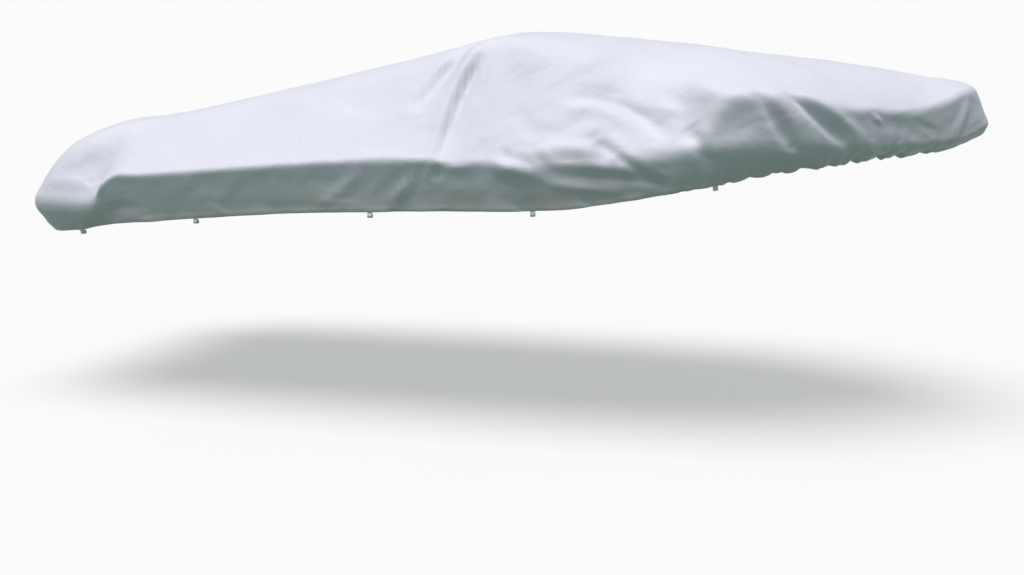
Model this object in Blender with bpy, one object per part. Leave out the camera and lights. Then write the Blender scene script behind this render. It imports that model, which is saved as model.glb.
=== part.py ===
"""Fitted cover for an open motor boat, in the shape it takes over the boat, with the boat left out.

One sheet of coated polyester runs from an elastic hem below the gunwale, over the gunwale and the bow
rail, up to a ridge that is highest over the windscreen. Ten webbing loops for the tie-down line are sewn
inside the hem.

Units are metres. +X points to the bow, +Y to port and +Z up. The origin lies on the centreline, just
under the cloth at its highest point, where the windscreen's frame carries the cover.
"""

from typing import NamedTuple

import bpy
import numpy as np
from mathutils import Matrix, Vector

# Driving dimensions ------------------------------------------------------------------------------------

CLOTH_THICKNESS = 0.002
HEM_THICKNESS = 0.0035  # the cloth is turned over its elastic there
HEM_WIDTH = 0.030
CARRIED_AT = 2.860  # how far forward of the stern the windscreen's frame carries the cover
CARRIED_HEIGHT = 1.128  # height of that frame above the lowest point of the hem

LOOP_WIDTH = 0.025
LOOP_THICKNESS = 0.002
LOOP_GAP = 0.019  # inside width of the open loop
LOOP_DROP = 0.031  # how far a loop reaches below the hem
LOOP_LEG = 0.018  # height of its two sewn legs above the hem's edge
LOOP_NECK = 0.004  # the legs part this far below the hem's edge
LOOP_TURN = (150, 390)  # degrees from inwards, where the round foot of its hole starts and ends
LOOP_FACETS = 10  # flat faces that stand for that round foot
SEWN_GAP = 0.0007  # left between a loop and the cloth that it is sewn to
LOOPS_FORWARD = (0.36, 1.12, 2.16, 3.04, 3.95)  # of the stern, on each side

STARBOARD, PORT = -1, 1


class Section(NamedTuple):
    """One line of the cloth from its hem up to the ridge, on one half of the cover.

    Each place is (forward of the stern, out from the centreline, above the lowest hem), and the ridge is
    (forward, above). The bends say how far from the gunwale and from the shoulder the cloth starts to
    turn. steps is the number of spokes from this section to the next.
    """

    name: str
    hem: tuple
    gunwale: tuple
    shoulder: tuple
    ridge: tuple
    bends: tuple
    steps: int


# fmt: off
SECTIONS = (
    #       hem, gunwale, shoulder,
    #       ridge, bends, steps
    Section("transom",      (0.10, 0.00, 0.000),     (0.006, 0.00, 0.160),    (0.065, 0.00, 0.485),
            (0.36, 0.640),   (0.08, 0.16),    4),
    Section("transom_side", (0.10, 0.49, 0.000),     (0.006, 0.52, 0.160),    (0.07, 0.47, 0.490),
            (0.38, 0.645),   (0.08, 0.16),    3),
    Section("corner_aft",   (0.105, 0.76, 0.000),    (-0.002, 0.80, 0.158),   (0.10, 0.70, 0.478),
            (0.43, 0.652),   (0.08, 0.17),    2),
    Section("corner",       (0.145, 0.885, 0.006),   (0.024, 0.950, 0.156),   (0.155, 0.79, 0.478),
            (0.49, 0.658),   (0.08, 0.18),    2),
    Section("corner_side",  (0.31, 0.945, 0.013),    (0.200, 1.025, 0.158),   (0.28, 0.82, 0.518),
            (0.58, 0.668),   (0.075, 0.17),    3),
    Section("tuck",         (0.52, 0.97, 0.045),     (0.503, 1.050, 0.190),   (0.50, 0.72, 0.595),
            (0.68, 0.682),   (0.055, 0.14),   1),
    Section("tuck_top",     (0.59, 0.98, 0.055),     (0.549, 1.058, 0.272),   (0.58, 0.69, 0.611),
            (0.73, 0.691),   (0.035, 0.12),   1),
    Section("quarter",      (0.68, 0.99, 0.065),     (0.636, 1.066, 0.332),   (0.68, 0.64, 0.630),
            (0.80, 0.705),   (0.03, 0.11),    1),
    Section("quarter_fore", (0.83, 1.000, 0.078),    (0.80, 1.073, 0.342),    (0.82, 0.625, 0.655),
            (0.90, 0.728),   (0.03, 0.11),    3),
    Section("well",         (1.20, 1.02, 0.112),     (1.20, 1.085, 0.373),    (1.20, 0.58, 0.720),
            (1.20, 0.800),   (0.03, 0.10),    6),
    Section("cockpit",      (1.90, 1.04, 0.157),     (1.90, 1.090, 0.426),    (1.90, 0.58, 0.860),
            (1.90, 0.950),   (0.03, 0.10),    5),
    Section("screen_foot",  (2.40, 1.04, 0.175),     (2.40, 1.090, 0.443),    (2.40, 0.58, 0.985),
            (2.40, 1.058),   (0.03, 0.10),    5),
    Section("screen",       (2.74, 1.04, 0.183),     (2.74, 1.090, 0.434),    (2.74, 0.58, 1.070),
            (2.74, 1.130),   (0.03, 0.08),    6),
    Section("deck",         (3.20, 1.03, 0.203),     (3.20, 1.080, 0.450),    (3.20, 0.62, 1.020),
            (3.20, 1.118),   (0.100, 0.12),   6),
    Section("rail_foot",    (3.60, 0.985, 0.262),    (3.60, 1.040, 0.475),    (3.565, 0.70, 0.855),
            (3.60, 1.077),   (0.06, 0.12),    3),
    Section("rail_run",     (3.765, 0.972, 0.293),   (3.785, 1.033, 0.491),   (3.755, 0.775, 0.833),
            (3.78, 1.056),   (0.055, 0.09),   3),
    Section("rail_aft",     (3.924, 0.955, 0.324),   (3.955, 1.025, 0.506),   (3.946, 0.935, 0.793),
            (3.95, 1.032),   (0.05, 0.06),    6),
    Section("foredeck",     (4.254, 0.825, 0.388),   (4.301, 0.905, 0.515),   (4.302, 0.868, 0.768),
            (4.30, 0.988),   (0.05, 0.05),    6),
    Section("bow_side",     (4.599, 0.60, 0.438),    (4.66, 0.690, 0.497),    (4.652, 0.684, 0.706),
            (4.60, 0.942),   (0.05, 0.04),    6),
    Section("stem",         (4.877, 0.385, 0.466),   (4.961, 0.430, 0.512),   (4.956, 0.432, 0.703),
            (4.84, 0.903),   (0.04, 0.035),   5),
    Section("bow_turn",     (5.16, 0.16, 0.515),     (5.19, 0.222, 0.556),    (5.166, 0.204, 0.789),
            (4.98, 0.874),   (0.02, 0.03),    3),
    Section("bow",          (5.285, 0.00, 0.570),    (5.315, 0.00, 0.624),    (5.235, 0.00, 0.818),
            (5.08, 0.858),   (0.02, 0.03),    0),
)
# fmt: on

# Steps of the sheet along each stretch of a section, from the hem's turn up to the ridge.
SIDE_STEPS, GUNWALE_STEPS, SLOPE_STEPS, SHOULDER_STEPS, CROWN_STEPS = 3, 2, 5, 3, 3
GUNWALE_ROW = 1 + SIDE_STEPS + GUNWALE_STEPS // 2
CROWN_REACH = 0.45  # share of the way to the shoulder over which the cloth levels out at the ridge


class Fold(NamedTuple):
    """A soft trough (height below zero) or ridge along a path over the cloth, on one side of the cover.

    The path's places are (along the gunwale from the middle of the transom, up the cloth from the
    gunwale). reach is how far to each side the fold dies away.
    """

    side: int
    path: tuple
    reach: float
    height: float


FOLDS = (
    # drawn down from the windscreen's corner to the gunwale
    Fold(STARBOARD, ((3.765, 1.00), (3.625, 0.50), (3.57, -0.08)), 0.036, -0.028),
    Fold(STARBOARD, ((3.72, 0.90), (3.57, 0.54), (3.50, 0.22)), 0.045, 0.012),
    Fold(STARBOARD, ((3.60, 0.98), (3.50, 0.66), (3.37, 0.38)), 0.055, -0.035),
    Fold(STARBOARD, ((3.80, 0.72), (3.90, 0.50), (3.92, 0.26)), 0.100, -0.008),
    # slack between the windscreen and the bow rail
    Fold(STARBOARD, ((4.22, 0.43), (4.38, 0.43), (4.52, 0.36)), 0.048, -0.013),
    Fold(STARBOARD, ((4.52, 0.33), (4.62, 0.25), (4.72, 0.13)), 0.055, -0.015),
    Fold(STARBOARD, ((4.68, 0.34), (4.78, 0.25)), 0.050, 0.008),
    Fold(STARBOARD, ((4.20, 0.33), (4.44, 0.28), (4.60, 0.10)), 0.065, 0.007),
    Fold(STARBOARD, ((4.38, 0.11), (4.46, 0.00)), 0.068, -0.028),
    Fold(STARBOARD, ((3.88, -0.01), (4.08, -0.06)), 0.048, 0.028),
    Fold(STARBOARD, ((4.14, 0.07), (4.44, 0.05)), 0.060, 0.012),
    Fold(STARBOARD, ((4.12, -0.02), (4.46, -0.04)), 0.035, 0.010),
    Fold(STARBOARD, ((4.12, -0.04), (4.48, -0.09), (4.74, -0.14)), 0.035, -0.016),
    Fold(STARBOARD, ((4.14, -0.11), (4.50, -0.17)), 0.035, 0.012),
    Fold(STARBOARD, ((4.50, 0.00), (4.73, -0.15)), 0.035, -0.014),
    # drag lines down the side, forward of the beam
    Fold(STARBOARD, ((3.44, -0.08), (3.31, -0.21)), 0.040, 0.012),
    Fold(STARBOARD, ((3.36, -0.08), (3.26, -0.17)), 0.040, -0.008),
    Fold(STARBOARD, ((3.12, -0.09), (2.90, -0.23)), 0.045, 0.010),
    # from the aft end of the bow rail down over the gunwale
    Fold(STARBOARD, ((5.10, 0.29), (4.98, 0.16), (4.86, 0.01)), 0.085, 0.016),
    Fold(STARBOARD, ((4.86, 0.11), (4.96, -0.07)), 0.050, -0.022),
    Fold(STARBOARD, ((5.19, 0.25), (5.33, 0.05), (5.39, -0.02)), 0.045, -0.020),
    Fold(STARBOARD, ((5.26, 0.25), (5.46, 0.00)), 0.042, 0.012),
    Fold(STARBOARD, ((5.37, 0.17), (5.50, 0.02)), 0.042, 0.010),
    Fold(STARBOARD, ((5.34, 0.28), (5.50, 0.16), (5.74, -0.04)), 0.050, -0.028),
    Fold(STARBOARD, ((5.57, 0.19), (5.86, -0.04)), 0.045, 0.014),
    Fold(STARBOARD, ((5.78, 0.15), (6.02, 0.11), (6.22, 0.02)), 0.055, -0.007),
    Fold(STARBOARD, ((6.49, 0.17), (6.36, 0.02)), 0.040, 0.012),
    # stern quarter
    Fold(STARBOARD, ((1.16, 0.36), (1.36, 0.26)), 0.060, -0.003),
    Fold(STARBOARD, ((0.98, 0.16), (1.20, 0.15), (1.42, 0.14)), 0.075, 0.005),
    Fold(STARBOARD, ((1.52, -0.13), (1.62, -0.17), (1.80, -0.20)), 0.040, -0.010),
    # the other side, which is drawn less tight
    Fold(PORT, ((3.70, 0.78), (3.60, 0.46), (3.66, 0.02)), 0.050, -0.018),
    Fold(PORT, ((3.58, 0.74), (3.40, 0.50), (3.22, 0.30)), 0.060, -0.014),
    Fold(PORT, ((4.02, 0.50), (4.26, 0.36), (4.40, 0.12)), 0.065, -0.018),
    Fold(PORT, ((4.30, 0.46), (4.52, 0.30), (4.74, 0.22)), 0.070, 0.012),
    Fold(PORT, ((4.00, -0.02), (4.32, -0.09), (4.54, -0.16)), 0.040, -0.014),
    Fold(PORT, ((2.62, -0.04), (2.44, -0.20)), 0.045, 0.010),
    Fold(PORT, ((3.50, -0.04), (3.32, -0.16)), 0.045, -0.010),
    Fold(PORT, ((4.88, 0.16), (4.96, -0.06)), 0.055, -0.020),
    Fold(PORT, ((5.14, 0.28), (5.24, 0.08), (5.26, -0.04)), 0.050, -0.024),
    Fold(PORT, ((5.40, 0.28), (5.52, 0.12), (5.68, -0.03)), 0.050, -0.022),
    Fold(PORT, ((5.54, 0.26), (5.70, 0.06)), 0.045, 0.013),
    Fold(PORT, ((5.82, 0.18), (6.06, 0.10), (6.22, -0.02)), 0.050, -0.014),
    Fold(PORT, ((1.18, 0.30), (1.42, 0.24)), 0.060, -0.010),
    # across the transom
    Fold(PORT, ((0.55, 0.26), (0.30, 0.06), (0.24, -0.10)), 0.060, -0.012),
    Fold(STARBOARD, ((0.42, 0.22), (0.62, 0.02), (0.66, -0.12)), 0.060, -0.012),
)


class Gather(NamedTuple):
    """A stretch of hem that its elastic draws into even puckers, which die away up the side."""

    side: int
    start: float  # along the gunwale from the middle of the transom
    end: float
    pitch: float
    height: float
    reach: float  # up from the hem


GATHERS = (
    Gather(STARBOARD, 0.30, 1.12, 0.240, 0.005, 0.10),
    Gather(STARBOARD, 3.90, 4.95, 0.190, 0.0025, 0.10),
    Gather(STARBOARD, 5.03, 6.20, 0.145, 0.009, 0.15),
    Gather(STARBOARD, 6.05, 6.60, 0.170, 0.004, 0.10),
    Gather(PORT, 0.30, 1.12, 0.250, 0.005, 0.10),
    Gather(PORT, 3.90, 4.95, 0.200, 0.0025, 0.10),
    Gather(PORT, 5.04, 6.25, 0.140, 0.006, 0.14),
)

PATH_SAMPLES = 48  # points that stand for a fold's path when distances to it are taken
FOLD_END = 0.35  # a fold's height at the ends of its path, as a share of its full height
FOLD_FULLNESS = 0.7  # the lower, the sooner a fold comes to its full height
GATHER_FULLNESS = 0.5
GATHER_WANDER = 0.6  # by how much, in radians, puckers stray from their pitch
GATHER_DRIFT = 2.1  # how fast they stray, in radians for each pitch
GATHER_FADE = 1.5  # the higher, the sooner a pucker dies away above the hem


def rail_table(column):
    """One named place of every section, as an array with a row for each section."""
    return np.array([getattr(section, column) for section in SECTIONS], float)


def once_round(column):
    """The half table down starboard and then back up port, where its second value is a breadth."""
    table = rail_table(column) * [1, STARBOARD, 1]
    return np.concatenate([table, table[-2:0:-1] * [1, -1, 1]])


def smooth_curve(knots, table, at):
    """Points of a smooth curve through the table's rows, which reach two rows past both ends of at.

    A cubic joins each row to the next, and its slope at a row is the average of the two chords there,
    each weighted by the other's length.
    """
    span = np.diff(knots)[:, None]
    chord = np.diff(table, axis=0) / span
    slope = np.zeros_like(table)
    slope[1:-1] = (chord[:-1] * span[1:] + chord[1:] * span[:-1]) / (span[1:] + span[:-1])
    row = np.searchsorted(knots, at, side="right") - 1
    width = span[row]
    share = (at - knots[row])[:, None] / width
    return (
        table[row] * (1 + 2 * share) * (1 - share) ** 2
        + slope[row] * width * share * (1 - share) ** 2
        + table[row + 1] * (3 - 2 * share) * share**2
        + slope[row + 1] * width * (share - 1) * share**2
    )


def closed_curve(knots, length, table, at):
    """The smooth curve through a table that runs once round the cover."""
    knots = np.concatenate([knots[-2:] - length, knots, knots[:2] + length])
    return smooth_curve(knots, np.concatenate([table[-2:], table, table[:2]]), at)


def open_curve(knots, table, at):
    """The smooth curve through a table with two ends, which runs straight on past each end."""
    knots = np.concatenate([2 * knots[0] - knots[2:0:-1], knots, 2 * knots[-1] - knots[-2:-4:-1]])
    table = np.concatenate([2 * table[0] - table[2:0:-1], table, 2 * table[-1] - table[-2:-4:-1]])
    return smooth_curve(knots, table, at)


def straight(start, end, count):
    """Rows from start towards end, without the end itself."""
    share = (np.arange(count) / count)[:, None, None]
    return start + (end - start) * share


def rounded(start, corner, end, count):
    """Rows on the parabola that leaves start towards the corner and comes to end from it, without end."""
    share = (np.arange(count) / count)[:, None, None]
    return start * (1 - share) ** 2 + corner * 2 * share * (1 - share) + end * share**2


def towards(start, end, distance):
    """The point that lies the distance from start, on the way to end."""
    way = end - start
    return start + way * (distance / np.linalg.norm(way, axis=-1, keepdims=True))


def unit(vectors):
    """The vectors made one long."""
    return vectors / np.linalg.norm(vectors, axis=-1, keepdims=True)


class Sheet:
    """The cover's outer face as a grid: rows from hem to ridge, and spokes once round the cover.

    Spokes run from the middle of the transom along starboard to the bow and back along port. Two spokes
    that mirror each other end on the same point of the ridge.
    """

    def __init__(self):
        self.along = self.spoke_places()
        self.base = self.section_rows()
        steps = np.linalg.norm(np.diff(self.base, axis=0), axis=2)
        self.above_hem = np.concatenate([np.zeros((1, self.spokes)), np.cumsum(steps, axis=0)])
        self.up = self.above_hem - self.above_hem[GUNWALE_ROW]
        self.triangles = self.make_triangles()
        self.outer = self.base + self.normals(self.base) * self.fold_heights()[..., None]
        thickness = np.full(self.rows, CLOTH_THICKNESS)
        thickness[:2] = HEM_THICKNESS
        self.inner = self.outer - self.normals(self.outer) * thickness[:, None, None]

    def spoke_places(self):
        """Each spoke's distance along the gunwale, once round from the middle of the transom."""
        gunwale = once_round("gunwale")
        steps = np.linalg.norm(np.diff(gunwale, axis=0, append=gunwale[:1]), axis=1)
        self.knots = np.concatenate([[0.0], np.cumsum(steps)[:-1]])
        self.length = steps.sum()
        half = [
            np.linspace(self.knots[row], self.knots[row + 1], section.steps, endpoint=False)
            for row, section in enumerate(SECTIONS[:-1])
        ]
        half = np.concatenate(half + [[self.length / 2]])
        self.bow_spoke = len(half) - 1
        self.spokes = 2 * self.bow_spoke
        return np.concatenate([half, self.length - half[-2:0:-1]])

    def section_rows(self):
        """The unfolded sheet: each section's straight runs with its bends rounded."""
        hem, gunwale, shoulder = (
            closed_curve(self.knots, self.length, once_round(column), self.along)
            for column in ("hem", "gunwale", "shoulder")
        )
        from_transom = np.minimum(self.along, self.length - self.along)
        half_knots = self.knots[: len(SECTIONS)]
        crest = open_curve(half_knots, rail_table("ridge"), from_transom)
        bends = open_curve(half_knots, rail_table("bends"), from_transom)
        ridge = np.stack([crest[:, 0], np.zeros(self.spokes), crest[:, 1]], axis=1)
        level = ridge + (shoulder - ridge) * [CROWN_REACH, CROWN_REACH, 0.0]
        side_top = towards(gunwale, hem, bends[:, :1])
        slope_foot = towards(gunwale, shoulder, bends[:, :1])
        slope_top = towards(shoulder, gunwale, bends[:, 1:])
        crown_foot = towards(shoulder, level, bends[:, 1:])
        rows = [
            hem[None],
            straight(towards(hem, gunwale, HEM_WIDTH), side_top, SIDE_STEPS),
            rounded(side_top, gunwale, slope_foot, GUNWALE_STEPS),
            straight(slope_foot, slope_top, SLOPE_STEPS),
            rounded(slope_top, shoulder, crown_foot, SHOULDER_STEPS),
            rounded(crown_foot, level, ridge, CROWN_STEPS),
            ridge[None],
        ]
        grid = np.concatenate(rows)
        self.rows = len(grid)
        return grid

    def point_numbers(self):
        """The number of each grid point, where mirrored spokes share their point on the ridge."""
        numbers = np.arange(self.rows * self.spokes).reshape(self.rows, self.spokes)
        spoke = np.arange(self.spokes)
        numbers[-1] = numbers[-1, np.minimum(spoke, self.spokes - spoke)]
        return numbers

    def make_triangles(self):
        """Point numbers of the sheet's triangles.

        Each quad is cut along its shorter diagonal, but never along one that lies on the centreline.
        """
        numbers = self.point_numbers()
        points = self.base.reshape(-1, 3)
        following = np.roll(numbers, -1, axis=1)
        a, b, c, d = (part.ravel() for part in (numbers[:-1], following[:-1], following[1:], numbers[1:]))
        one, other = (
            np.where(
                np.abs(points[ends, 1]).sum(axis=0) > 0,
                np.linalg.norm(points[ends[0]] - points[ends[1]], axis=1),
                np.inf,
            )
            for ends in (np.stack([a, c]), np.stack([b, d]))
        )
        first = np.where((one <= other)[:, None], np.stack([a, b, c], 1), np.stack([a, b, d], 1))
        second = np.where((one <= other)[:, None], np.stack([a, c, d], 1), np.stack([b, c, d], 1))
        return np.concatenate([first, second])

    def normals(self, grid):
        """Outward unit normals of the grid's points, from the triangles that meet there."""
        points = grid.reshape(-1, 3)
        corners = points[self.triangles]
        facing = np.cross(corners[:, 1] - corners[:, 0], corners[:, 2] - corners[:, 0])
        total = np.zeros_like(points)
        for corner in range(3):
            np.add.at(total, self.triangles[:, corner], facing)
        total = total[self.point_numbers()]
        return unit(total)

    def spoke_at(self, side, along):
        """The grid column, as a number with a fraction, that lies along one side's gunwale."""
        column = np.interp(along, self.along[: self.bow_spoke + 1], np.arange(self.bow_spoke + 1))
        return column if side == STARBOARD else (self.spokes - column) % self.spokes

    def place(self, side, along, up):
        """The point of the unfolded sheet at these distances along and up from the gunwale."""
        column = self.spoke_at(side, along)
        low = int(column)
        share = column - low
        high = (low + 1) % self.spokes
        heights = self.up[:, low] * (1 - share) + self.up[:, high] * share
        line = self.base[:, low] * (1 - share) + self.base[:, high] * share
        return np.array([np.interp(up, heights, line[:, axis]) for axis in range(3)])

    def fold_path(self, fold):
        """Points along a fold: a straight line between two places, or a parabola through three."""
        places = [self.place(fold.side, *place) for place in fold.path]
        if len(places) == 2:
            start, end = places
            middle = (start + end) / 2
        else:
            start, middle, end = places
        corner = 2 * middle - (start + end) / 2
        return rounded(start, corner, end, PATH_SAMPLES)[:, 0]

    def fold_heights(self):
        """How far each grid point moves outwards: the sum of the folds and of the puckers at the hem.

        A fold's section is h (1 - q) exp(-q), with q the square of distance over reach, so that its
        trough or ridge has a slight swell on each side. Its height rises and falls along its path.
        """
        heights = np.zeros((self.rows, self.spokes))
        for fold in FOLDS:
            path = self.fold_path(fold)
            away = np.linalg.norm(self.base[:, :, None] - path, axis=3)
            nearest = away.argmin(axis=2)
            share = nearest / (PATH_SAMPLES - 1)
            along_it = FOLD_END + (1 - FOLD_END) * np.sin(np.pi * share) ** FOLD_FULLNESS
            square = (away.min(axis=2) / fold.reach) ** 2
            heights += fold.height * along_it * (1 - square) * np.exp(-square)
        for gather in GATHERS:
            side_along = self.along if gather.side == STARBOARD else self.length - self.along
            share = np.clip((side_along - gather.start) / (gather.end - gather.start), 0.0, 1.0)
            swell = np.sin(np.pi * share) ** GATHER_FULLNESS
            wander = GATHER_WANDER * np.sin(GATHER_DRIFT * side_along / gather.pitch)
            wave = np.sin(2 * np.pi * side_along / gather.pitch + wander)
            fade = np.clip(1 - self.above_hem / gather.reach, 0.0, 1.0) ** GATHER_FADE
            heights += gather.height * swell * wave * fade
        return heights

    def hem_frame(self, side, forward):
        """Where a loop is sewn: its place on the inner hem, the way inwards and the way up the cloth.

        It lies between two spokes, where the hem is flat.
        """
        spoke = np.arange(self.bow_spoke)
        if side == PORT:
            spoke = self.spokes - 1 - spoke
        following = (spoke + 1) % self.spokes
        middle = (self.inner[0, spoke, 0] + self.inner[0, following, 0]) / 2
        nearest = np.abs(middle - forward).argmin()
        corners = self.inner[:2, [spoke[nearest], following[nearest]]]
        along = unit(corners[0, 1] - corners[0, 0])
        inwards = unit(np.cross((corners[1] - corners[0]).mean(axis=0), along))
        return corners[0].mean(axis=0), inwards, unit(np.cross(along, inwards))


def clear_scene():
    """Removes what the scene holds before the cover is made."""
    for item in list(bpy.data.objects):
        bpy.data.objects.remove(item, do_unlink=True)


def material(name, colour, roughness):
    """A non-metal Principled material of one colour."""
    made = bpy.data.materials.new(name)
    made.use_nodes = True
    shader = made.node_tree.nodes["Principled BSDF"]
    shader.inputs["Base Color"].default_value = (*colour, 1.0)
    shader.inputs["Roughness"].default_value = roughness
    shader.inputs["Metallic"].default_value = 0.0
    return made


def add_object(name, data, finish):
    """Links an object for the data, dressed in the finish."""
    item = bpy.data.objects.new(name, data)
    item.data.materials.append(finish)
    bpy.context.collection.objects.link(item)
    return item


def placed(points):
    """Points measured from the stern and the lowest hem, moved to the cover's own origin."""
    return points - np.array([CARRIED_AT, 0.0, CARRIED_HEIGHT])


def add_cloth(sheet, finish):
    """The sheet as one closed body: its outer face, its inner face, and the hem's edge between them."""
    numbers = sheet.point_numbers()
    count = numbers.size
    inside = sheet.triangles[:, ::-1] + count
    edge = numbers[0]
    following = np.roll(edge, -1)
    rim = np.concatenate(
        [
            np.stack([following, edge, edge + count], 1),
            np.stack([following, edge + count, following + count], 1),
        ]
    )
    points = placed(np.concatenate([sheet.outer.reshape(-1, 3), sheet.inner.reshape(-1, 3)]))
    faces = np.concatenate([sheet.triangles, inside, rim])
    used, faces = np.unique(faces, return_inverse=True)
    mesh = bpy.data.meshes.new("cover_cloth")
    mesh.from_pydata(points[used].tolist(), [], faces.reshape(-1, 3).tolist())
    mesh.shade_smooth()
    return add_object("cover_cloth", mesh, finish)


def loop_outlines():
    """The loop's outer outline and its hole, seen along the hem, as (inwards from the cloth, up from it).

    Two legs lie flat together on the cloth. Below the hem they part round a hole with a round foot.
    """
    centre = (LOOP_THICKNESS, LOOP_GAP / 2 + LOOP_THICKNESS - LOOP_DROP)
    turn = np.radians(np.linspace(*LOOP_TURN, LOOP_FACETS + 1))
    foot = np.stack([np.cos(turn), np.sin(turn)], axis=1)
    outer_foot = centre + foot * (LOOP_GAP / 2 + LOOP_THICKNESS)
    hole_foot = centre + foot * LOOP_GAP / 2
    both_legs = 2 * LOOP_THICKNESS
    legs = [(both_legs, -LOOP_NECK), (both_legs, LOOP_LEG), (0.0, LOOP_LEG), (0.0, -LOOP_NECK)]
    crotch = [(LOOP_THICKNESS, -LOOP_NECK - LOOP_THICKNESS)]
    return np.concatenate([outer_foot, legs]), np.concatenate([hole_foot, crotch])


def add_loop(name, sheet, side, forward, finish):
    """One webbing loop, its outline carried along the hem by the webbing's width."""
    curve = bpy.data.curves.new(name, "CURVE")
    curve.dimensions = "2D"
    curve.fill_mode = "BOTH"
    curve.extrude = LOOP_WIDTH / 2
    for outline in loop_outlines():
        spline = curve.splines.new("POLY")
        spline.points.add(len(outline) - 1)
        for point, (inwards, up) in zip(spline.points, outline):
            point.co = (inwards + SEWN_GAP, up, 0.0, 1.0)
        spline.use_cyclic_u = True
    item = add_object(name, curve, finish)
    foot, inwards, up = sheet.hem_frame(side, forward)
    axes = Matrix((inwards, up, np.cross(inwards, up))).transposed()
    item.matrix_world = Matrix.Translation(Vector(placed(foot))) @ axes.to_4x4()
    return item


def main():
    """Builds the cloth and its loops."""
    clear_scene()
    sheet = Sheet()
    add_cloth(sheet, material("coated_polyester", (0.56, 0.58, 0.63), 0.62))
    webbing = material("loop_webbing", (0.72, 0.72, 0.70), 0.75)
    for side, side_name in ((STARBOARD, "starboard"), (PORT, "port")):
        for number, forward in enumerate(LOOPS_FORWARD, 1):
            add_loop(f"loop_{side_name}_{number}", sheet, side, forward, webbing)


if __name__ == "__main__":
    main()
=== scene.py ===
"""Visual model of a fitted cloth cover for an open motor boat, in its draped shape, with the boat left out.

The cover is one sheet of coated polyester. It rises from an elastic hem below the gunwale, over the
gunwale and the bow rail, to a ridge that is highest over the windscreen. Webbing loops for the tie-down
cord are sewn inside the hem.

Units are metres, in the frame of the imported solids: +X to the bow, +Y to port and +Z up, with the origin
on the centreline just under the cloth at its highest point.
"""

import logging
from dataclasses import dataclass
from enum import Enum
from typing import NamedTuple

import bpy
import numpy as np
from mathutils import Matrix, Vector
from numpy.linalg import norm

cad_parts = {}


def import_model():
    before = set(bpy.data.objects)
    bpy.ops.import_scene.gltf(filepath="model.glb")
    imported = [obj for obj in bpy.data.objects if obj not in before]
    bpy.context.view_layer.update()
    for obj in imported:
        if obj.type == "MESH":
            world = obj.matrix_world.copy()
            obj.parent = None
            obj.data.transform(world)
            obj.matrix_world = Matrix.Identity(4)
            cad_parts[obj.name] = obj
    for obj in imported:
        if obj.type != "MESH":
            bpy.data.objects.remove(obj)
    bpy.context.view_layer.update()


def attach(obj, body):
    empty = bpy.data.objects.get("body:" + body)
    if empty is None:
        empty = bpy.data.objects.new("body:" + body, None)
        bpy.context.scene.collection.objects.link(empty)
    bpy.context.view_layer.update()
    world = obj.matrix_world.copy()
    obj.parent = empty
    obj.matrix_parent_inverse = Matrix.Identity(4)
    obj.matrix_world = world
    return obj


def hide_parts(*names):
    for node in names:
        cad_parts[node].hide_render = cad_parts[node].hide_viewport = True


log = logging.getLogger("boat_cover")

Array = np.ndarray
Material = bpy.types.Material
Piece = bpy.types.Object
Tree = bpy.types.NodeTree
Socket = bpy.types.NodeSocket

CARRIED_AT = 2.860  # how far forward of the stern the windscreen's frame carries the cover
CARRIED_HEIGHT = 1.128  # height of that frame above the lowest hem
GROUND = -2.068  # where the boat's trailer stands
WAVE_RADIANS = 20  # how far a wave texture of scale one turns in a metre
MIX_FIRST, MIX_SECOND, MIX_RESULT = 6, 7, 2  # a mix node's colour sockets


class Side(Enum):
    """The two halves of the cover, by the sign of their Y."""

    STARBOARD = -1
    PORT = 1


class Slot(Enum):
    """The record's material slots."""

    CLOTH = "coated_polyester"
    WEBBING = "loop_webbing"


class Section(NamedTuple):
    """One line of the cloth from its hem up to the ridge, on one half of the cover.

    Each place is (forward of the stern, out from the centreline, above the lowest hem), and the ridge is
    (forward, above). The bends say how far from the gunwale and from the shoulder the cloth starts to
    turn. spokes is the number of the grid's spokes from this section to the next.
    """

    hem: tuple
    gunwale: tuple
    shoulder: tuple
    ridge: tuple
    bends: tuple
    spokes: int


class Fold(NamedTuple):
    """A soft ridge, or trough of height below zero, along a path over one side of the cover.

    The path's places are (along the gunwale from the middle of the transom, up the cloth from the
    gunwale). reach is how far to each side the fold dies away.
    """

    side: Side
    path: tuple
    reach: float
    height: float


class Stretch(NamedTuple):
    """A stretch of hem that its elastic draws into puckers or into short creases.

    start, end and pitch are measured along the gunwale from the middle of the transom. height is that of
    the puckers or the depth of the creases, and they die away within reach of the hem's edge.
    """

    side: Side
    start: float
    end: float
    pitch: float
    height: float
    reach: float


class Grain(NamedTuple):
    """Soft noise: features to the metre, and its share of finer noise and distortion."""

    scale: float
    detail: float
    roughness: float = 0.5
    distortion: float = 0.0


class Relief(NamedTuple):
    """How strongly a relief turns the shading normal, and how high it is."""

    strength: float
    height: float


def rows_of(kind: type, *rows: tuple) -> tuple:
    """One object of that kind from each row of a table."""
    return tuple(kind(*row) for row in rows)


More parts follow.
